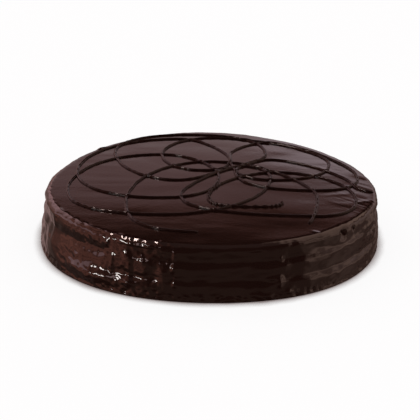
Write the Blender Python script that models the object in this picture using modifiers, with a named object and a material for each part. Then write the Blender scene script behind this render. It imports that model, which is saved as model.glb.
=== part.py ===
"""A large round layer cake under dark chocolate glaze, with looping piped lines on its top.

The cake is one solid: three layers that step in towards the top under a poured
glaze, a flat underside, and two piped lines joined to the top surface.
Lengths are in millimetres and become metres where a mesh is made. The cake
stands on z = 0, the centre of its footprint is the origin, and the side that is
seen first faces -Y.
"""

import math

import bpy
import bmesh
from mathutils import Vector

MM = 0.001

# The cake as a whole
BASE_RADIUS = 139.0
TOP_HEIGHT = 41.9
RIM_RADIUS = 133.6
RIM_ROUND = 5.0
TOP_CENTRE = Vector((1.2, 0.4))

# The layers: how high each shoulder is, and how far the wall steps in there
SHOULDERS = ((15.0, 1.9), (29.0, 1.9))
SHOULDER_DEPTH = 7.5
BELLY = 0.7

# The glaze that has run down and set round the foot
FOOT_HEIGHT = 4.5
FOOT_SWELL = 1.0
FOOT_ROUND = 1.2

# Slow waves round the cake: (lobes, swell, bearing of one lobe in degrees)
RIM_WAVES = ((2, 1.0, 88.0), (3, 2.6, 96.0), (4, 0.8, 10.0))
BASE_WAVES = ((2, 0.4, 10.0), (3, 0.8, -12.0), (4, 2.0, 43.0))
# Ripples of the wall's glaze, and of the height at which each shoulder runs
WALL_RIPPLES = ((9, 0.35, 20.0), (14, 0.3, 5.0), (23, 0.2, 8.0))
SHOULDER_WANDER = ((5, 0.9, 30.0), (8, 0.7, 12.0), (13, 0.5, 3.0))
RIM_RIPPLES = ((7, 0.25, 40.0), (11, 0.2, 15.0), (19, 0.15, 2.0))

# The piped lines: half their width, how far their middle lies above the glaze,
# and how much their ends narrow
LINE_RADIUS = 1.2
LINE_LIFT = 0.2
END_TAPER = 0.55

# Each piped line circles clockwise. A row is the next place where it runs straight
# across or straight back, and how full the arc is that reaches it: 0.55 is part of
# an ellipse, more is squarer and less is flatter. Places are from TOP_CENTRE.
LONG_START = (-9, -108)
LONG_FIRST = "across"
LONG_LINE = (
    (-66, -44, 0.70), (1, 48, 0.55), (49, 11, 0.60), (-41, -76, 0.55),
    (-115, -17, 0.68), (-43, 65, 0.57), (6, 9, 0.50), (-44, -41, 0.65),
    (-113, 24, 0.60), (-28, 111, 0.55), (16, 52, 0.40), (-30, 0, 0.45),
    (-86, 73, 0.50), (-14, 125, 0.60), (48, 72, 0.65), (-9, 25, 0.45),
    (-44, 66, 0.55), (4, 116, 0.55), (102, 50, 0.45), (50, 4, 0.60),
    (16, 66, 0.75), (52, 104, 0.40), (122, 18, 0.35), (77, -19, 0.70),
    (20, 22, 0.65), (52, 56, 0.40), (116, -5, 0.35), (130, -20, 0.45),
)
SHORT_START = (55, -46)
SHORT_FIRST = "back"
SHORT_LINE = (
    (26, -57, 0.80), (-2, -35, 0.80), (57, 23, 0.45), (114, -33, 0.55),
    (75, -74, 0.65), (-24, -34, 0.68), (30, 37, 0.30), (84, -31, 0.35),
    (72, -87, 0.30),
)

# How finely the solid is cut
AROUND = 96
RIM_STEPS = 4
WALL_STEPS = 11
FOOT_STEPS = 2
ARC_STEPS = 10
LINE_ROUNDNESS = 1
SMALLEST_EDGE = 0.01

GLAZE_COLOUR = (0.022, 0.010, 0.008, 1.0)
GLAZE_ROUGHNESS = 0.12


def clear_scene():
    for thing in list(bpy.data.objects):
        bpy.data.objects.remove(thing, do_unlink=True)


def new_collection(name):
    collection = bpy.data.collections.new(name)
    bpy.context.scene.collection.children.link(collection)
    return collection


def add_object(name, data, collection):
    thing = bpy.data.objects.new(name, data)
    collection.objects.link(thing)
    return thing


def evaluated_mesh(thing):
    """The object's mesh with its modifiers or its bevel worked out."""
    graph = bpy.context.evaluated_depsgraph_get()
    graph.update()
    return bpy.data.meshes.new_from_object(thing.evaluated_get(graph))


def waves(table, bearing):
    """The sum of a table's waves at a bearing in radians."""
    total = 0.0
    for lobes, swell, lobe_bearing in table:
        total += swell * math.cos(lobes * (bearing - math.radians(lobe_bearing)))
    return total


def ease(amount):
    """0 to 1 with a level start and end."""
    amount = min(max(amount, 0.0), 1.0)
    return amount * amount * (3.0 - 2.0 * amount)


def wall_radius(height, bearing=None):
    """The wall's distance from the middle, at one bearing or as an even turned shape."""
    wander = 0.0 if bearing is None else waves(SHOULDER_WANDER, bearing)
    stepped_in = sum(step for _, step in SHOULDERS)
    lean = BASE_RADIUS - RIM_RADIUS - stepped_in
    radius = BASE_RADIUS - lean * height / TOP_HEIGHT
    floor_height = 0.0
    for number, (shoulder, step) in enumerate(SHOULDERS):
        level = shoulder + wander * (1 if number % 2 else -1)
        radius -= step * ease((height - level) / SHOULDER_DEPTH + 0.5)
    for shoulder in [row[0] for row in SHOULDERS] + [TOP_HEIGHT]:
        share = (height - floor_height) / (shoulder - floor_height)
        if 0.0 < share < 1.0:
            radius += BELLY * math.sin(math.pi * share)
        floor_height = shoulder
    radius += FOOT_SWELL * ease(1.0 - height / FOOT_HEIGHT)
    if bearing is not None:
        middle = math.sin(math.pi * min(max(height / TOP_HEIGHT, 0.0), 1.0))
        radius += middle * waves(WALL_RIPPLES, bearing)
    return radius


def out_of_round(height, bearing):
    """How far the outline stands out of a circle: the base's waves below, the rim's above."""
    share = min(max(height / TOP_HEIGHT, 0.0), 1.0)
    return share * waves(RIM_WAVES, bearing) + (1.0 - share) * waves(BASE_WAVES, bearing)


def turned_outline():
    """The profile, from the middle of the top down the outer side to the middle underneath."""
    shoulder = TOP_HEIGHT - RIM_ROUND
    level_radius = wall_radius(shoulder) - RIM_ROUND
    points = [(0.0, TOP_HEIGHT)]
    for step in range(RIM_STEPS):
        turn = math.pi / 2 * step / RIM_STEPS
        points.append((level_radius + RIM_ROUND * math.sin(turn),
                       shoulder + RIM_ROUND * math.cos(turn)))
    for step in range(WALL_STEPS):
        height = shoulder + (FOOT_ROUND - shoulder) * step / WALL_STEPS
        points.append((wall_radius(height), height))
    foot_radius = wall_radius(FOOT_ROUND) - FOOT_ROUND
    for step in range(FOOT_STEPS + 1):
        turn = math.pi / 2 * step / FOOT_STEPS
        points.append((foot_radius + FOOT_ROUND * math.cos(turn),
                       FOOT_ROUND - FOOT_ROUND * math.sin(turn)))
    points.append((0.0, 0.0))
    return points


def shape_by_hand(mesh):
    """Moves a turned cake's points out of round, as layers stacked and glazed by hand are."""
    shoulder = TOP_HEIGHT - RIM_ROUND
    for vertex in mesh.vertices:
        place = Vector((vertex.co.x, vertex.co.y)) / MM
        height = vertex.co.z / MM
        reach = place.length
        if reach < 1.0:
            continue
        bearing = math.atan2(place.y, place.x)
        on_wall = FOOT_ROUND * 0.5 < height < shoulder + 0.01
        moved = out_of_round(height, bearing)
        if on_wall:
            moved += wall_radius(height, bearing) - wall_radius(height)
        elif height > shoulder:
            moved += waves(RIM_RIPPLES, bearing)
        lean = TOP_CENTRE * (height / TOP_HEIGHT)
        place = place * ((reach + moved) / reach) + lean
        vertex.co.x = place.x * MM
        vertex.co.y = place.y * MM


def centre_on_origin(mesh, others):
    """Slides the cake, and what lies on it, until its footprint's middle is the origin."""
    xs = [vertex.co.x for vertex in mesh.vertices]
    ys = [vertex.co.y for vertex in mesh.vertices]
    middle = Vector(((min(xs) + max(xs)) / 2, (min(ys) + max(ys)) / 2, 0.0))
    for data in [mesh] + others:
        for vertex in data.vertices:
            vertex.co -= middle


def make_cake(collection):
    """The glazed cake without its piping: a profile turned by Screw, then shaped."""
    outline = turned_outline()
    profile = bpy.data.meshes.new("cake_profile")
    edges = [(number, number + 1) for number in range(len(outline) - 1)]
    profile.from_pydata([(x * MM, 0.0, z * MM) for x, z in outline], edges, [])
    turned = add_object("cake_profile", profile, collection)
    screw = turned.modifiers.new("Turn", "SCREW")
    screw.axis = "Z"
    screw.angle = math.radians(360.0)
    screw.steps = AROUND
    screw.render_steps = AROUND
    screw.use_merge_vertices = True
    screw.merge_threshold = 0.0001
    mesh = evaluated_mesh(turned)
    bpy.data.objects.remove(turned)
    mesh.name = "cake"
    shape_by_hand(mesh)
    return add_object("cake", mesh, collection)


def surface_height(x, y):
    """The height of the top's glaze at a place: level, then rolling over the rim."""
    bearing = math.atan2(y, x)
    shoulder = TOP_HEIGHT - RIM_ROUND
    edge = wall_radius(shoulder) - RIM_ROUND
    edge += out_of_round(TOP_HEIGHT, bearing) + waves(RIM_RIPPLES, bearing)
    over = min(max(math.hypot(x, y) - edge, 0.0), RIM_ROUND)
    return shoulder + math.sqrt(RIM_ROUND ** 2 - over ** 2)


def arc(start, end, leaves_across, fullness, steps):
    """Points of an arc that turns a right angle between its two ends, without the last."""
    start = Vector(start[:2])
    end = Vector(end[:2])
    corner = Vector((end.x, start.y)) if leaves_across else Vector((start.x, end.y))
    near = start.lerp(corner, fullness)
    far = end.lerp(corner, fullness)
    points = []
    for step in range(steps):
        t = step / steps
        s = 1.0 - t
        points.append(s ** 3 * start + 3 * s * s * t * near + 3 * s * t * t * far + t ** 3 * end)
    return points


def line_route(start, first, rows):
    """A piped line's whole route over the top, as points in the plane of the top."""
    route = []
    across = first == "across"
    last = start
    for row in rows:
        route += arc(last, row, across, row[2], ARC_STEPS)
        across = not across
        last = row
    route.append(Vector(last[:2]))
    return route


def make_line(name, route, collection):
    """One piped line: a round bead along its route, half sunk in the glaze, as a mesh."""
    curve = bpy.data.curves.new(name, "CURVE")
    curve.dimensions = "3D"
    curve.bevel_depth = LINE_RADIUS * MM
    curve.bevel_resolution = LINE_ROUNDNESS
    curve.use_fill_caps = True
    spline = curve.splines.new("POLY")
    spline.points.add(len(route) - 1)
    for point, place in zip(spline.points, route):
        height = surface_height(place.x, place.y) + LINE_LIFT
        spot = place + TOP_CENTRE
        point.co = (spot.x * MM, spot.y * MM, height * MM, 1.0)
    for end in (0, -1):
        spline.points[end].radius = END_TAPER
    bead = add_object(name, curve, collection)
    mesh = evaluated_mesh(bead)
    place = bead.matrix_world.copy()
    bpy.data.objects.remove(bead)
    bpy.data.curves.remove(curve)
    welded = bmesh.new()
    welded.from_mesh(mesh)
    bmesh.ops.remove_doubles(welded, verts=welded.verts, dist=0.00001)
    welded.to_mesh(mesh)
    welded.free()
    piece = add_object(name, mesh, collection)
    piece.matrix_world = place
    return piece


def keep_largest_body(mesh):
    """Drops loose scraps, and fills hollows that joining has sealed."""
    whole = bmesh.new()
    whole.from_mesh(mesh)
    waiting = set(whole.verts)
    bodies = []
    while waiting:
        body = {waiting.pop()}
        edge_of_body = list(body)
        while edge_of_body:
            vertex = edge_of_body.pop()
            for edge in vertex.link_edges:
                other = edge.other_vert(vertex)
                if other in waiting:
                    waiting.remove(other)
                    body.add(other)
                    edge_of_body.append(other)
        bodies.append(body)
    bodies.sort(key=len)
    for body in bodies[:-1]:
        bmesh.ops.delete(whole, geom=list(body), context="VERTS")
    bmesh.ops.remove_doubles(whole, verts=whole.verts, dist=SMALLEST_EDGE * MM)
    whole.to_mesh(mesh)
    whole.free()


def join_piping(cake, piping):
    """Joins the piped lines to the cake, so that they are one solid."""
    union = cake.modifiers.new("Piping", "BOOLEAN")
    union.operation = "UNION"
    union.operand_type = "COLLECTION"
    union.collection = piping
    union.solver = "EXACT"
    union.use_self = True
    joined = evaluated_mesh(cake)
    keep_largest_body(joined)
    cake.modifiers.clear()
    cake.data = joined
    joined.name = "cake"
    for piece in list(piping.objects):
        bpy.data.objects.remove(piece)
    bpy.data.collections.remove(piping)


def glaze_material():
    material = bpy.data.materials.new("chocolate_glaze")
    material.use_nodes = True
    shader = material.node_tree.nodes["Principled BSDF"]
    shader.inputs["Base Color"].default_value = GLAZE_COLOUR
    shader.inputs["Roughness"].default_value = GLAZE_ROUGHNESS
    shader.inputs["Metallic"].default_value = 0.0
    return material


clear_scene()
cake_parts = new_collection("chocolate_cake")
piping = new_collection("piping")
piping.hide_render = True
cake = make_cake(cake_parts)
long_line = make_line("long_line", line_route(LONG_START, LONG_FIRST, LONG_LINE), piping)
short_line = make_line("short_line", line_route(SHORT_START, SHORT_FIRST, SHORT_LINE), piping)
centre_on_origin(cake.data, [long_line.data, short_line.data])
join_piping(cake, piping)
cake.data.materials.clear()
cake.data.materials.append(glaze_material())
cake.data.shade_smooth()
cake.data.set_sharp_from_angle(angle=math.radians(50.0))
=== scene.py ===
import math

import bmesh
import bpy
from mathutils import Matrix, Vector, noise


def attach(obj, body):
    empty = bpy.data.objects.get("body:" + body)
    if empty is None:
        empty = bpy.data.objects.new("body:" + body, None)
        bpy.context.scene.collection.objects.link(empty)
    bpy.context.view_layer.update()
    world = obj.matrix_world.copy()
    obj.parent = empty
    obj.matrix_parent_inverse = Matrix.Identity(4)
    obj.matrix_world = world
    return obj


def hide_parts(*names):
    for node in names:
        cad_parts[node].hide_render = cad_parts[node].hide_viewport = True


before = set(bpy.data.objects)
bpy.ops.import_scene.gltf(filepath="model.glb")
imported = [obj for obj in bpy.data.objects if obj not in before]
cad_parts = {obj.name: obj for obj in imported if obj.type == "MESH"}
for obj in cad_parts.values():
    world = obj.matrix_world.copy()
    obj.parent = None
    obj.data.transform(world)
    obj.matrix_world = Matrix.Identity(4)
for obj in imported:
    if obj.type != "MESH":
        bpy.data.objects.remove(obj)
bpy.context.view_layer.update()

# The cake under its glaze. Three low layers of sponge, each a little smaller than the
# one below, stand under one coat of poured dark chocolate glaze. The glaze has rolled
# over the rim, run down the wall in soft drips and set in a bead round the foot.
mm = 0.001

# Sizes are in millimetres, and bearings in degrees from +X towards +Y. A wave is its
# number of lobes, how far they swell out and the bearing of one of them.
base_radius = 139.0
top_height = 41.9
rim_radius = 133.6
rim_round = 5.0
top_centre = Vector((1.2, 0.4))
shoulders = ((15.0, 1.9), (29.0, 1.9))
shoulder_depth = 7.5
slump_drop = 6.0
slump_softening = 0.6
belly = 0.7
foot_height = 4.5
foot_swell = 1.0
foot_round = 1.2
rim_waves = ((2, 1.0, 88.0), (3, 2.6, 96.0), (4, 0.8, 10.0))
base_waves = ((2, 0.4, 10.0), (3, 0.8, -12.0), (4, 2.0, 43.0))
wall_ripples = ((9, 0.35, 20.0), (14, 0.3, 5.0), (23, 0.2, 8.0))
shoulder_wander = ((5, 0.9, 30.0), (8, 0.7, 12.0), (13, 0.5, 3.0))
rim_ripples = ((7, 0.25, 40.0), (11, 0.2, 15.0), (19, 0.15, 2.0))
wobble_swell = 1.6
wobble_size = 16.0


def waves(table, bearing):
    """The sum of a table's waves at a bearing in radians."""
    total = 0.0
    for lobes, swell, lobe_bearing in table:
        total += swell * math.cos(lobes * (bearing - math.radians(lobe_bearing)))
    return total


def ease(amount):
    """0 to 1 with a level start and end."""
    amount = min(max(amount, 0.0), 1.0)
    return amount * amount * (3.0 - 2.0 * amount)


def stretch(value, low, high, low_ease, high_ease):
    """1 between two limits, easing to 0 at each over the width given for it."""
    return ease((value - low) / low_ease) * ease((high - value) / high_ease)


def wall_radius(height, bearing=None, wobble=0.0, slump=0.0):
    """The wall's distance from the middle, at one bearing or as an even turned shape.
    Where the glaze has slumped the upper shoulder lies lower and softer."""
    wander = 0.0 if bearing is None else waves(shoulder_wander, bearing)
    stepped_in = sum(step for _, step in shoulders)
    lean = base_radius - rim_radius - stepped_in
    radius = base_radius - lean * height / top_height
    floor_height = 0.0
    for number, (shoulder, step) in enumerate(shoulders):
        level = shoulder + wander * (1 if number % 2 else -1) + wobble - slump_drop * slump * number
        depth = shoulder_depth * (1.0 + slump_softening * slump * number)
        radius -= step * ease((height - level) / depth + 0.5)
    for shoulder in [row[0] for row in shoulders] + [top_height]:
        share = (height - floor_height) / (shoulder - floor_height)
        if 0.0 < share < 1.0:
            radius += belly * math.sin(math.pi * share)
        floor_height = shoulder
    radius += foot_swell * ease(1.0 - height / foot_height)
    if bearing is not None:
        middle = math.sin(math.pi * min(max(height / top_height, 0.0), 1.0))
        radius += middle * waves(wall_ripples, bearing)
    return radius


def out_of_round(height, bearing):
    """How far the outline stands out of a circle: the base's waves below, the rim's above."""
    share = min(max(height / top_height, 0.0), 1.0)
    return share * waves(rim_waves, bearing) + (1.0 - share) * waves(base_waves, bearing)


# Half of a cut through the cake, from the middle of the top down to the middle of the
# underside, with closer points where the glaze is finer.
middle_points = 8
outer_points = 20
rim_points = 11
wall_points = 46
foot_points = 4
level_height = top_height - rim_round
level_radius = wall_radius(level_height) - rim_round
strokes_start = 84.0
profile = [(strokes_start * step / middle_points, top_height) for step in range(middle_points)]
for step in range(outer_points):
    profile.append((strokes_start + (level_radius - strokes_start) * step / outer_points, top_height))
for step in range(rim_points):
    turn = math.pi / 2 * step / rim_points
    profile.append((level_radius + rim_round * math.sin(turn), level_height + rim_round * math.cos(turn)))
for step in range(wall_points):
    height = level_height + (foot_round - level_height) * step / wall_points
    profile.append((wall_radius(height), height))
foot_radius = wall_radius(foot_round) - foot_round
for step in range(foot_points + 1):
    turn = math.pi / 2 * step / foot_points
    profile.append((foot_radius + foot_round * math.cos(turn), foot_round - foot_round * math.sin(turn)))
profile.append((0.0, 0.0))

# One wedge is turned from it, and its copies close the round.
wedges = 12
wedge_steps = 90
cake_mesh = bmesh.new()
corners = [cake_mesh.verts.new((reach, 0.0, height)) for reach, height in profile]
edges = [cake_mesh.edges.new(pair) for pair in zip(corners, corners[1:])]
bmesh.ops.spin(cake_mesh, geom=corners + edges, cent=(0, 0, 0), axis=(0, 0, 1),
               angle=math.tau / wedges, steps=wedge_steps)
wedge = cake_mesh.verts[:] + cake_mesh.edges[:] + cake_mesh.faces[:]
for number in range(1, wedges):
    copied = bmesh.ops.duplicate(cake_mesh, geom=wedge)["geom"]
    bmesh.ops.rotate(cake_mesh, verts=[piece for piece in copied if isinstance(piece, bmesh.types.BMVert)],
                     cent=(0, 0, 0), matrix=Matrix.Rotation(number * math.tau / wedges, 3, "Z"))
bmesh.ops.remove_doubles(cake_mesh, verts=cake_mesh.verts, dist=0.001)


def top_relief(x, y):
    """How far the level glaze of the top rises, in the spatula's long soft strokes."""
    swell = 0.14 * noise.noise(Vector((x / 60.0, y / 38.0, 3.1)))
    strokes = 0.05 * noise.noise(Vector((x / 30.0, y / 12.0, 7.7)))
    streaks = 0.009 * noise.noise(Vector((x / 26.0 + y / 60.0, y / 4.0, 1.7)))
    return swell + strokes + streaks


def rim_strokes(x, y):
    """The comb of fine strokes where the spatula left the cake at the right of the rim."""
    reach = math.hypot(x, y)
    bearing = math.degrees(math.atan2(y, x))
    here = stretch(bearing, -34.0, 46.0, 14.0, 24.0) * ease((reach - 88.0) / 20.0)
    if here <= 0.0:
        return 0.0
    stroke_way = math.radians(-43.0)
    across = -x * math.sin(stroke_way) + y * math.cos(stroke_way)
    along = x * math.cos(stroke_way) + y * math.sin(stroke_way)
    fine = noise.noise(Vector((across / 2.4, along / 26.0, 5.5)))
    broad = noise.noise(Vector((across / 7.0, along / 40.0, 8.5)))
    edge = ease((reach - 112.0) / 16.0)
    return here * ((0.025 + 0.045 * edge) * fine + (0.03 + 0.06 * edge) * broad)


def bumps(x, y, height, depth, wide, tall, place):
    """Uneven glaze on the wall: bumps of one depth, width and height. Place tells two
    sets of the same size apart."""
    return depth * noise.noise(Vector((x / wide, y / wide, height / tall + place)))


def wall_relief(x, y, height):
    """Drips, lumps and fine bumps of the glaze, rougher at the front left and the right."""
    bearing = math.degrees(math.atan2(y, x))
    smooth = 0.4
    rough = smooth + 2.2 * stretch(bearing, -146.0, -96.0, 10.0, 10.0)
    rough += 1.2 * stretch(bearing, -46.0, 40.0, 16.0, 60.0)
    drips = bumps(x, y, height, 0.48, 12.0, 24.0, 0.0)
    lumps = bumps(x, y, height, 0.34, 9.0, 4.4, 9.0)
    fine = bumps(x, y, height, 0.075 * rough, 2.6, 2.2, 4.0)
    rim = bumps(x, y, height, 0.22 * ease((height - 36.0) / 4.0), 4.2, 6.0, 2.0)
    foot = bumps(x, y, height, 0.9 * ease((9.0 - height) / 7.0), 3.6, 2.6, 6.0)
    blobs = bumps(x, y, height, 0.16 * (rough - smooth), 3.8, 3.6, 14.0)
    return drips + lumps + fine + rim + foot + blobs


def lip_relief(x, y, turn):
    """Soft lumps along the lip, where the glaze hung for a moment before it ran over."""
    bearing = math.degrees(math.atan2(y, x))
    here = stretch(bearing, -190.0, -84.0, 20.0, 24.0)
    lip_end = 50.0
    lip = math.sin(math.pi * min(max(math.degrees(turn) / lip_end, 0.0), 1.0))
    return (0.1 + 0.35 * here) * lip * noise.noise(Vector((x / 5.5, y / 5.5, 12.0)))


# Lumps and dents of the glaze that stand out: bearing, height, half width along the
# wall, half height and how far each stands out, or in where it's negative.
wall_marks = (
    (-43.5, 37.0, 2.1, 1.9, -3.4), (-38.0, 36.8, 1.3, 1.5, -2.2), (-68.0, 30.0, 1.2, 1.2, 1.1),
    (-68.5, 14.0, 1.5, 2.6, 1.5), (-71.0, 16.5, 4.0, 1.3, 1.1), (-74.0, 4.5, 5.0, 1.5, 1.5),
    (-66.0, 4.5, 3.0, 1.5, 1.4), (-84.0, 3.5, 2.6, 1.4, 1.3), (-128.0, 12.0, 11.5, 4.4, 3.0),
    (-25.0, 32.0, 6.5, 2.6, 2.4), (-25.0, 26.5, 6.5, 2.4, -1.4), (-28.0, 24.5, 1.6, 1.2, 1.2),
    (-22.5, 25.0, 1.6, 1.2, 1.2), (-25.0, 23.5, 1.4, 1.2, 1.2),
    (-114.5, 10.5, 3.0, 2.0, 1.4), (-114.5, 19.0, 1.1, 4.5, 0.8), (-120.5, 20.0, 1.0, 4.0, 0.8),
    (-128.5, 8.0, 2.2, 1.6, 1.1), (-128.0, 36.0, 1.8, 1.6, 0.9), (-123.0, 35.5, 1.6, 1.6, 0.9),
    (-116.0, 30.5, 2.8, 1.4, 1.1), (-114.5, 27.5, 2.4, 1.2, 1.0), (-110.5, 27.0, 2.6, 1.6, 1.1),
    (-100.5, 34.0, 1.0, 2.2, 0.9), (-100.5, 25.0, 1.2, 2.2, 1.0), (-100.0, 14.0, 1.0, 2.0, 0.9),
    (-110.0, 20.0, 3.6, 3.0, 1.3), (-103.5, 18.0, 3.4, 4.0, 1.4), (-99.8, 19.5, 1.2, 1.4, 0.8),
    (-30.0, 30.5, 8.0, 4.0, 0.6), (-149.0, 30.0, 2.6, 9.0, 0.7), (141.0, 40.0, 3.0, 3.0, 1.0),
)
marks = []
for bearing, height, across, tall, lift in wall_marks:
    angle = math.radians(bearing)
    marks.append((math.cos(angle), math.sin(angle), height, across, tall, lift))

# The same on top, by the rim: place, the way it runs, half length, half width and lift.
top_marks = (
    (76.0, -102.5, -20.0, 2.0, 0.9, 0.16), (79.0, -105.0, -60.0, 1.2, 0.9, 0.2),
    (99.0, -26.0, 12.0, 9.0, 2.2, 0.07), (104.0, -47.0, -20.0, 8.0, 3.0, 0.08),
    (124.0, -9.0, -50.0, 14.0, 1.6, 0.12), (118.0, -40.0, 20.0, 7.0, 1.8, 0.12),
    (16.0, 72.0, 20.0, 5.0, 3.0, 0.5),
)


def top_marks_relief(x, y):
    """What the single smears and curls add at a place on top."""
    total = 0.0
    for middle_x, middle_y, way, length, width, lift in top_marks:
        aside_x = x - middle_x
        aside_y = y - middle_y
        if abs(aside_x) + abs(aside_y) > 3.0 * length:
            continue
        turned = math.radians(way)
        along = (aside_x * math.cos(turned) + aside_y * math.sin(turned)) / length
        across = (aside_y * math.cos(turned) - aside_x * math.sin(turned)) / width
        total += lift * math.exp(-0.5 * (along * along + across * across))
    return total


def marks_relief(x, y, height):
    """What the single lumps and dents add at a place on the wall."""
    reach = math.hypot(x, y)
    total = 0.0
    for out_x, out_y, middle, across, tall, lift in marks:
        if x * out_x + y * out_y < 0.8 * reach:
            continue
        aside = (x * out_y - y * out_x) / across
        above = (height - middle) / tall
        distance = aside * aside + above * above
        if distance < 9.0:
            total += lift * math.exp(-0.5 * distance)
    return total


# Every point moves from the even turned shape to its place: out of round, in or out
# with the shoulders, and up or out of the surface with the relief. The two middle points
# have no bearing.
rim_end = math.radians(65.0)
for vertex in cake_mesh.verts:
    x, y, height = vertex.co
    reach = math.hypot(x, y)
    if reach < 0.5:
        if height > 1.0:
            vertex.co.z += top_relief(x, y)
        continue
    bearing = math.atan2(y, x)
    moved = out_of_round(height, bearing)
    upper_half = height > (shoulders[0][0] + shoulders[1][0]) / 2
    wobble = wobble_swell * noise.noise(Vector((x / wobble_size, y / wobble_size, 0.4 + upper_half)))
    if foot_round * 0.5 < height < level_height + 0.01:
        slump = stretch(math.degrees(bearing), -185.0, -118.0, 20.0, 14.0)
        moved += wall_radius(height, bearing, wobble, slump) - wall_radius(height)
    elif height > level_height:
        moved += waves(rim_ripples, bearing)
    if height > 0.01:
        turn = math.atan2(max(reach - level_radius, 0.0), max(height - level_height, 0.0001))
        turn = min(turn, math.pi / 2)
        wall_share = ease(turn / rim_end)
        raised = (1.0 - wall_share) * top_relief(x, y)
        if reach > strokes_start:
            raised += rim_strokes(x, y) * ease((height - 28.0) / 8.0)
            raised += top_marks_relief(x, y) * (1.0 - wall_share)
        if wall_share > 0.0:
            raised += wall_share * wall_relief(x, y, height) * ease(height / 3.0)
            raised += marks_relief(x, y, height)
        raised += lip_relief(x, y, turn)
        moved += raised * math.sin(turn)
        vertex.co.z += raised * math.cos(turn)
    lean = top_centre * (height / top_height)
    vertex.co.x = x * (reach + moved) / reach + lean.x
    vertex.co.y = y * (reach + moved) / reach + lean.y

# The middle of the footprint is the origin.
xs = [vertex.co.x for vertex in cake_mesh.verts]
ys = [vertex.co.y for vertex in cake_mesh.verts]
slide = Vector(((min(xs) + max(xs)) / 2, (min(ys) + max(ys)) / 2, 0.0))
for vertex in cake_mesh.verts:
    vertex.co = (vertex.co - slide) * mm
bmesh.ops.recalc_face_normals(cake_mesh, faces=cake_mesh.faces)
for face in cake_mesh.faces:
    face.smooth = True
cake_data = bpy.data.meshes.new("glazed_cake")
cake_mesh.to_mesh(cake_data)
cake_mesh.free()
glazed_cake = bpy.data.objects.new("glazed_cake", cake_data)
bpy.context.scene.collection.objects.link(glazed_cake)


class Link:
    """A shader socket that sums and products can be written with."""

    def __init__(self, tree, socket=None):
        self.tree = tree
        self.socket = socket

    def node(self, kind, settings=None, sockets=None, output=0):
        made = self.tree.nodes.new(kind)
        for name, value in (settings or {}).items():
            if name == "stops":
                ramp = made.color_ramp
                while len(ramp.elements) < len(value):
                    ramp.elements.new(1.0)
                for stop, (place, colour) in zip(ramp.elements, value):
                    stop.position = place
                    stop.color = colour
            else:
                setattr(made, name, value)
        for name, value in (sockets or {}).items():
            if isinstance(value, Link):
                self.tree.links.new(value.socket, made.inputs[name])
            else:
                made.inputs[name].default_value = value
        return Link(self.tree, made.outputs[output])

    def maths(self, operation, first, second):
        return self.node("ShaderNodeMath", {"operation": operation}, {0: first, 1: second})

    def __add__(self, other):
        return self.maths("ADD", self, other)

    def __radd__(self, other):
        return self.maths("ADD", other, self)

    def __sub__(self, other):
        return self.maths("SUBTRACT", self, other)

    def __rsub__(self, other):
        return self.maths("SUBTRACT", other, self)

    def __mul__(self, other):
        return self.maths("MULTIPLY", self, other)

    def __rmul__(self, other):
        return self.maths("MULTIPLY", other, self)

    def into(self, shader, name):
        self.tree.links.new(self.socket, shader.inputs[name])


def chocolate(name, dark, light, roughness, grain, shine=0.5):
    """Set dark chocolate: two near browns in soft clouds, a hard gloss and a fine skin."""
    material = bpy.data.materials.new(name)
    material.use_nodes = True
    tree = material.node_tree
    shader = tree.nodes["Principled BSDF"]
    shader.inputs["IOR"].default_value = 1.5
    shader.inputs["Specular IOR Level"].default_value = shine
    start = Link(tree)
    place = start.node("ShaderNodeTexCoord", output="Object")
    clouds = start.node("ShaderNodeTexNoise", {}, {"Vector": place, "Scale": 28.0, "Detail": 3.0}, "Fac")
    colour = start.node("ShaderNodeMix", {"data_type": "RGBA"},
                        {"Factor": clouds, "A": (*dark, 1.0), "B": (*light, 1.0)}, "Result")
    skin = start.node("ShaderNodeTexNoise", {}, {"Vector": place, "Scale": 420.0, "Detail": 2.0}, "Fac")
    soft = start.node("ShaderNodeTexNoise", {}, {"Vector": place, "Scale": 90.0, "Detail": 4.0}, "Fac")
    bump = start.node("ShaderNodeBump", {}, {"Height": skin * grain, "Distance": 0.001, "Strength": 1.0})
    colour.into(shader, "Base Color")
    (soft * 0.05 + roughness).into(shader, "Roughness")
    bump.into(shader, "Normal")
    return material


glaze = chocolate("chocolate_glaze", (0.019, 0.0066, 0.0049), (0.025, 0.0092, 0.0068), 0.05, 0.02)
glazed_cake.data.materials.append(glaze)
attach(glazed_cake, "root")
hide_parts("cake")

# The piped lines. Melted chocolate was run from a fine nozzle in two long strokes that
# circle clockwise as they wander over the top. Each lies as a round bead on the glaze,
# set fast to it, and rides up a little where it crosses itself.
line_radius = 1.35
line_rise = 1.5
line_uneven = 0.16
line_waver = 0.45
end_taper = 0.45
crossing_reach = 3.2
crossing_rise = 0.35
crossing_swell = 0.2
drops_end = 66
drops_swell = 0.4
long_start = (-9, -108)
long_turns = (
    (-66, -44, 0.70), (1, 48, 0.55), (49, 11, 0.60), (-41, -76, 0.55),
    (-115, -17, 0.68), (-43, 65, 0.57), (6, 9, 0.50), (-44, -41, 0.65),
    (-113, 24, 0.60), (-28, 111, 0.55), (16, 52, 0.40), (-30, 0, 0.45),
    (-86, 73, 0.50), (-14, 125, 0.60), (48, 72, 0.65), (-9, 25, 0.45),
    (-44, 66, 0.55), (4, 116, 0.55), (102, 50, 0.45), (50, 4, 0.60),
    (16, 66, 0.75), (52, 104, 0.40), (122, 18, 0.35), (77, -19, 0.70),
    (20, 22, 0.65), (52, 56, 0.40), (116, -5, 0.35), (130, -20, 0.45),
)
short_start = (55, -46)
short_turns = (
    (26, -57, 0.80), (-2, -35, 0.80), (57, 23, 0.45), (114, -33, 0.55),
    (75, -74, 0.65), (-24, -34, 0.68), (30, 37, 0.30), (84, -31, 0.35),
    (72, -87, 0.30),
)


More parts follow.
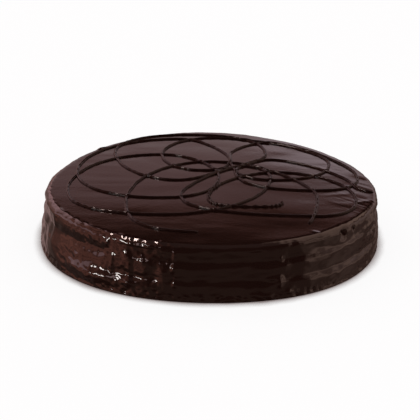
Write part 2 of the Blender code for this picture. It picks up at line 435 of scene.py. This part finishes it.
def line_route(start, leaves_across, turns):
    """Points along a stroke: each arc turns a right angle, its fullness says how squarely.
    A turn is where its arc ends, and the fullness."""
    route = []
    last = Vector(start)
    for x, y, fullness in turns:
        end = Vector((x, y))
        corner = Vector((end.x, last.y)) if leaves_across else Vector((last.x, end.y))
        near = last.lerp(corner, fullness)
        far = end.lerp(corner, fullness)
        steps = max(8, round((end - last).length / 1.3))
        for step in range(steps):
            t = step / steps
            s = 1.0 - t
            route.append(s ** 3 * last + 3 * s * s * t * near + 3 * s * t * t * far + t ** 3 * end)
        leaves_across = not leaves_across
        last = end
    route.append(last)
    return route


def surface_height(x, y):
    """The height of the top's glaze at a place: level, then rolling over the rim."""
    bearing = math.atan2(y, x)
    edge = level_radius + out_of_round(top_height, bearing) + waves(rim_ripples, bearing)
    over = min(max(math.hypot(x, y) - edge, 0.0), rim_round)
    return level_height + math.sqrt(rim_round ** 2 - over ** 2) + top_relief(x, y) * (over < 0.01)


def crossing_lifts(route, laid):
    """How far each point rides up where the stroke passes over chocolate that lies already."""
    lifts = []
    own_tail = 12
    for number, place in enumerate(route):
        below = laid + route[:max(0, number - own_tail)]
        nearest = min(((place - other).length_squared for other in below), default=crossing_reach ** 2)
        lifts.append(ease(1.0 - math.sqrt(nearest) / crossing_reach))
    return lifts


def piped_line(name, route, laid, beads=None):
    """One stroke as a round bead along its route, its foot sunk in the glaze."""
    curve = bpy.data.curves.new(name, "CURVE")
    curve.dimensions = "3D"
    curve.bevel_depth = line_radius * mm
    curve.bevel_resolution = 4
    curve.use_fill_caps = True
    spline = curve.splines.new("POLY")
    spline.points.add(len(route) - 1)
    lifts = crossing_lifts(route, laid)
    for number, place in enumerate(route):
        ends = min(number, len(route) - 1 - number)
        thickness = 1.0 + line_uneven * noise.noise(Vector((place.x / 4.0, place.y / 4.0, 2.0)))
        thickness *= 1.0 + crossing_swell * lifts[number]
        thickness *= 1.0 - end_taper + end_taper * ease((ends + 1) / 4.0)
        if beads:
            thickness *= beads(number)
        waver_x = noise.noise(Vector((place.x / 8.0, place.y / 8.0, 6.0)))
        waver_y = noise.noise(Vector((place.x / 8.0, place.y / 8.0, 26.5)))
        spot = place + line_waver * Vector((waver_x, waver_y)) + top_centre - slide.xy
        height = surface_height(place.x, place.y) + line_rise - line_radius
        height += crossing_rise * lifts[number]
        spline.points[number].co = (spot.x * mm, spot.y * mm, height * mm, 1.0)
        spline.points[number].radius = thickness
    tube = bpy.data.objects.new(name + "_tube", curve)
    bpy.context.scene.collection.objects.link(tube)
    graph = bpy.context.evaluated_depsgraph_get()
    data = bpy.data.meshes.new_from_object(tube.evaluated_get(graph))
    bpy.data.objects.remove(tube)
    bpy.data.curves.remove(curve)
    welded = bmesh.new()
    welded.from_mesh(data)
    bmesh.ops.remove_doubles(welded, verts=welded.verts, dist=0.00001)
    bmesh.ops.recalc_face_normals(welded, faces=welded.faces)
    for face in welded.faces:
        face.smooth = True
    welded.to_mesh(data)
    welded.free()
    data.name = name
    line = bpy.data.objects.new(name, data)
    bpy.context.scene.collection.objects.link(line)
    line.data.materials.append(piping)
    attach(line, "root")
    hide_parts("cake")
    return line


def broken_start(number):
    """The short stroke starts in a row of small drops, where the nozzle had air in it."""
    drops = 1.0 - ease((number - drops_end) / 12.0)
    return 1.0 + drops_swell * drops * math.sin(number * 1.9)


piping = chocolate("piped_chocolate", (0.013, 0.0044, 0.0032), (0.019, 0.0066, 0.0048),
                   0.08, 0.02, 0.11)
long_route = line_route(long_start, True, long_turns)
short_route = line_route(short_start, False, short_turns)
piped_line("piped_line_long", long_route, [])
piped_line("piped_line_short", short_route, long_route, broken_start)

# The table: plain white paper that runs back out of sight, glowing evenly white by itself.
# Close round the cake's foot its glow is darkened to a warm grey, a painted contact shadow.
# The cake's gloss doesn't mirror it, because in the studio the paper lay in shade from every side.
bpy.ops.mesh.primitive_plane_add(size=12.0, location=(0.0, 0.0, 0.0))
table = bpy.context.object
table.name = "table"
paper = bpy.data.materials.new("white_paper")
paper.use_nodes = True
paper_shader = paper.node_tree.nodes["Principled BSDF"]
paper_shader.inputs["Base Color"].default_value = (0.24, 0.22, 0.22, 1.0)
paper_shader.inputs["Emission Strength"].default_value = 1.0
paper_shader.inputs["Roughness"].default_value = 1.0
paper_shader.inputs["Specular IOR Level"].default_value = 0.0
# Painted contact shadow: ambient occlusion darkens the paper's glow to a warm grey near the cake.
painted_shadow_nodes = Link(paper.node_tree)
shade = painted_shadow_nodes.node("ShaderNodeAmbientOcclusion", {"samples": 8}, {"Distance": 0.0075}, "AO")
shade = painted_shadow_nodes.node("ShaderNodeMapRange", {}, {"Value": shade, "From Min": 0.45, "From Max": 1.0,
                                                "To Min": 0.0, "To Max": 1.0})
painted_shadow_nodes.node("ShaderNodeMix", {"data_type": "RGBA"},
             {"Factor": shade, "A": (0.20, 0.165, 0.16, 1.0), "B": (0.875, 0.876, 0.876, 1.0)},
             "Result").into(paper_shader, "Emission Color")
table.data.materials.append(paper)
table.visible_glossy = False
table.visible_diffuse = False

# The room: a plain, even sky lights the chocolate and is the white behind it. The gloss
# mirrors a dark studio instead, with a pale wall behind the cake, warm wood and a window
# to the left, a pale screen to the right, and a dim floor and ceiling.
world = bpy.data.worlds.new("studio")
bpy.context.scene.world = world
world.use_nodes = True
world.cycles.sampling_method = "NONE"
sky = world.node_tree
background = sky.nodes["Background"]
start = Link(sky)
direction = start.node("ShaderNodeTexCoord", output="Generated")
across = start.node("ShaderNodeSeparateXYZ", {}, {"Vector": direction}, "X")
ahead = start.node("ShaderNodeSeparateXYZ", {}, {"Vector": direction}, "Y")
upward = start.node("ShaderNodeSeparateXYZ", {}, {"Vector": direction}, "Z")


def fade(value, low, high):
    """0 where the value is at low and 1 at high, level at both ends."""
    sockets = {"Value": value, "From Min": low, "From Max": high, "To Min": 0.0, "To Max": 1.0}
    return start.node("ShaderNodeMapRange", {"interpolation_type": "SMOOTHSTEP"}, sockets)


def mix(factor, first, second):
    """A colour between two."""
    first = (*first, 1.0) if isinstance(first, tuple) else first
    second = (*second, 1.0) if isinstance(second, tuple) else second
    sockets = {"Factor": factor, "A": first, "B": second}
    return start.node("ShaderNodeMix", {"data_type": "RGBA"}, sockets, "Result")


# The wall behind, lighter to its top edge, with a small window low to the right and a
# dim stretch above that.
wall_heights = (
    (0.0, (0.12, 0.08, 0.07, 1.0)), (0.17, (0.52, 0.37, 0.375, 1.0)), (0.301, (0.59, 0.43, 0.435, 1.0)),
    (0.322, (0.41, 0.25, 0.25, 1.0)), (0.356, (0.37, 0.215, 0.215, 1.0)), (0.368, (0.26, 0.13, 0.122, 1.0)),
    (0.378, (0.15, 0.062, 0.049, 1.0)), (0.388, (0.06, 0.02, 0.013, 1.0)), (0.404, (0.0, 0.0, 0.0, 1.0)),
)
wall_behind = start.node("ShaderNodeValToRGB", {"stops": wall_heights}, {"Fac": upward}, "Color")
window = fade(0.297 + 0.35 * across - upward, -0.008, 0.008)
window = window * fade(across, 0.02, 0.08) * fade(across, 0.22, 0.12)
studio = mix(window * fade(upward, 0.1, 0.2), wall_behind, (0.90, 0.70, 0.75))
dim = fade(across, -0.02, 0.08) * fade(upward, 0.315, 0.335) * fade(upward, 0.385, 0.365)
studio = mix(0.32 * dim, studio, (0.08, 0.03, 0.02))

# The floor in front of the cake, and the ceiling.
floor = fade(upward, 0.16, -0.22) * fade(upward, -0.74, -0.42)
front = mix(floor, (0.0, 0.0, 0.0), (0.12, 0.085, 0.066))
studio = mix(fade(ahead, -0.35, 0.3), front, studio)
studio = mix(fade(upward, 0.68, 0.90), studio, (0.13, 0.092, 0.085))

# Warm wood down the left side, uneven like most of what stands round the cake.
uneven = start.node("ShaderNodeTexNoise", {}, {"Vector": direction, "Scale": 4.0, "Detail": 3.0}, "Fac")
uneven = 0.35 + 0.65 * fade(uneven, 0.38, 0.56)
leftward = 0.6 * ahead - 0.8 * across
left_half = fade(across, -0.2, -0.3)
warm_side = fade(leftward, -0.22, 0.42) * left_half
warm_up = fade(upward + 0.26 * fade(ahead, 0.1, -0.4), -0.34, -0.04)
warm = warm_side * warm_up * fade(ahead, -1.03, -0.5) * fade(upward, 0.97, 0.85)
warm = warm * (1.0 - 0.55 * fade(ahead, 0.4, 0.7))
studio = mix(warm * uneven, studio, (1.0, 0.39, 0.29))

# The window before the wood, bright and mauve, and its fainter end farther back.
left_side = fade(leftward, 0.50, 0.62) * left_half
mauve = left_side * fade(upward + 0.36 * ahead, 0.21, 0.27) * fade(upward, 0.50, 0.40)
mauve = mauve * fade(ahead, -0.5, -0.15) * fade(ahead, 0.65, 0.35)
mauve_end = left_side * fade(upward, 0.24, 0.34) * fade(upward, 0.70, 0.62)
mauve_end = mauve_end * fade(ahead, 0.35, 0.6)
studio = mix(start.maths("MAXIMUM", mauve, 0.8 * mauve_end), studio, (1.6, 0.96, 1.0))

# The screen to the right: its high part and, uneven, its low one.
right_high = fade(0.94 * across + 0.34 * ahead, 0.33, 0.42) * fade(upward, 0.41, 0.48)
right_high = right_high * fade(across, 0.03, 0.08)
right_high = right_high * fade(ahead - 0.5 * across, -0.42, -0.27) * fade(ahead, 0.82, 0.70)
right_low = fade(0.875 * across + 0.485 * ahead, 0.42, 0.54) * fade(across, 0.4, 0.6)
right_low = right_low * (0.22 + 0.78 * fade(upward, -0.24, -0.02)) * (1.0 - 0.6 * fade(ahead, 0.15, 0.5))
screen = start.maths("MAXIMUM", right_high, right_low * uneven) * fade(upward, 0.95, 0.85)
studio = mix(screen, studio, (1.0, 0.66, 0.53))

# What stands low behind the cake, and far back to the left.
low = fade(ahead, 0.1, 0.7) * fade(upward, -0.05, -0.2)
low_colour = mix(fade(across, 0.3, 0.5), (0.20, 0.13, 0.11), (0.10, 0.06, 0.048))
low_colour = mix(fade(upward, -0.40, -0.46), low_colour, (0.02, 0.01, 0.008))
studio = mix(low * uneven, studio, low_colour)
far_left = fade(across, -0.2, -0.36) * fade(ahead, 0.68, 0.78) * fade(upward, 0.2, 0.1)
studio = mix(far_left * uneven, studio, (0.40, 0.255, 0.24))

# Only the gloss sees the studio. The rest sees the plain sky, and the camera its white.
mirrored = start.node("ShaderNodeLightPath", output="Is Glossy Ray")
seen = start.node("ShaderNodeLightPath", output="Is Camera Ray")
above = start.maths("GREATER_THAN", upward, 0.0)
plain = mix(above, (0.29, 0.29, 0.30), (0.50, 0.50, 0.51))
plain = mix(seen, plain, (1.03, 1.03, 1.03))
mix(mirrored, plain, studio).into(background, "Color")


def softbox(name, azimuth, elevation, wide, high, radiance, tint, distance=1.6):
    """A lit oval that only the gloss mirrors, placed and sized in degrees. Azimuth 0 is
    behind the camera, and + is right."""
    round_by = math.radians(azimuth)
    up_by = math.radians(elevation)
    towards = Vector((math.sin(round_by) * math.cos(up_by), -math.cos(round_by) * math.cos(up_by),
                      math.sin(up_by)))
    data = bpy.data.lights.new(name, "AREA")
    data.shape = "ELLIPSE"
    data.size = 2.0 * distance * math.tan(math.radians(wide) / 2)
    data.size_y = 2.0 * distance * math.tan(math.radians(high) / 2)
    data.energy = radiance * math.pi * data.size * data.size_y * math.pi / 4
    data.color = tint
    panel = bpy.data.objects.new(name, data)
    panel.location = towards * distance
    panel.rotation_euler = towards.to_track_quat("Z", "Y").to_euler()
    panel.visible_diffuse = False
    panel.visible_camera = False
    bpy.context.scene.collection.objects.link(panel)


softbox("lamp_low_left", -53, 19, 13, 6.5, 24.0, (1.0, 0.95, 0.92))
softbox("lamp_high_left", -108, 64, 50, 3.0, 42.0, (1.0, 0.76, 0.70))
softbox("lamp_front_left", -36, 25, 8, 12, 2.5, (1.0, 0.72, 0.72))

# The camera stands where the photograph was taken: a little above the cake, looking
# down on it by about 22 degrees with a long lens, and leaning by one degree.
look_down = math.radians(21.88)
lean_left = math.radians(-1.07)
picture_width = 420.0
focal_length = 946.4
forward = Vector((0.0, math.cos(look_down), -math.sin(look_down)))
right = Vector((1.0, 0.0, 0.0))
up = Vector((0.0, math.sin(look_down), math.cos(look_down)))
camera_data = bpy.data.cameras.new("camera")
camera_data.sensor_width = 36.0
camera_data.lens = camera_data.sensor_width * focal_length / picture_width
camera = bpy.data.objects.new("camera", camera_data)
bpy.context.scene.collection.objects.link(camera)
camera.location = Vector((-0.23, -732.0, 309.9)) * mm
turned_right = math.cos(lean_left) * right - math.sin(lean_left) * up
turned_up = math.sin(lean_left) * right + math.cos(lean_left) * up
camera.rotation_euler = Matrix((turned_right, turned_up, -forward)).transposed().to_euler()
bpy.context.scene.camera = camera
bpy.context.scene.view_settings.view_transform = "Standard"
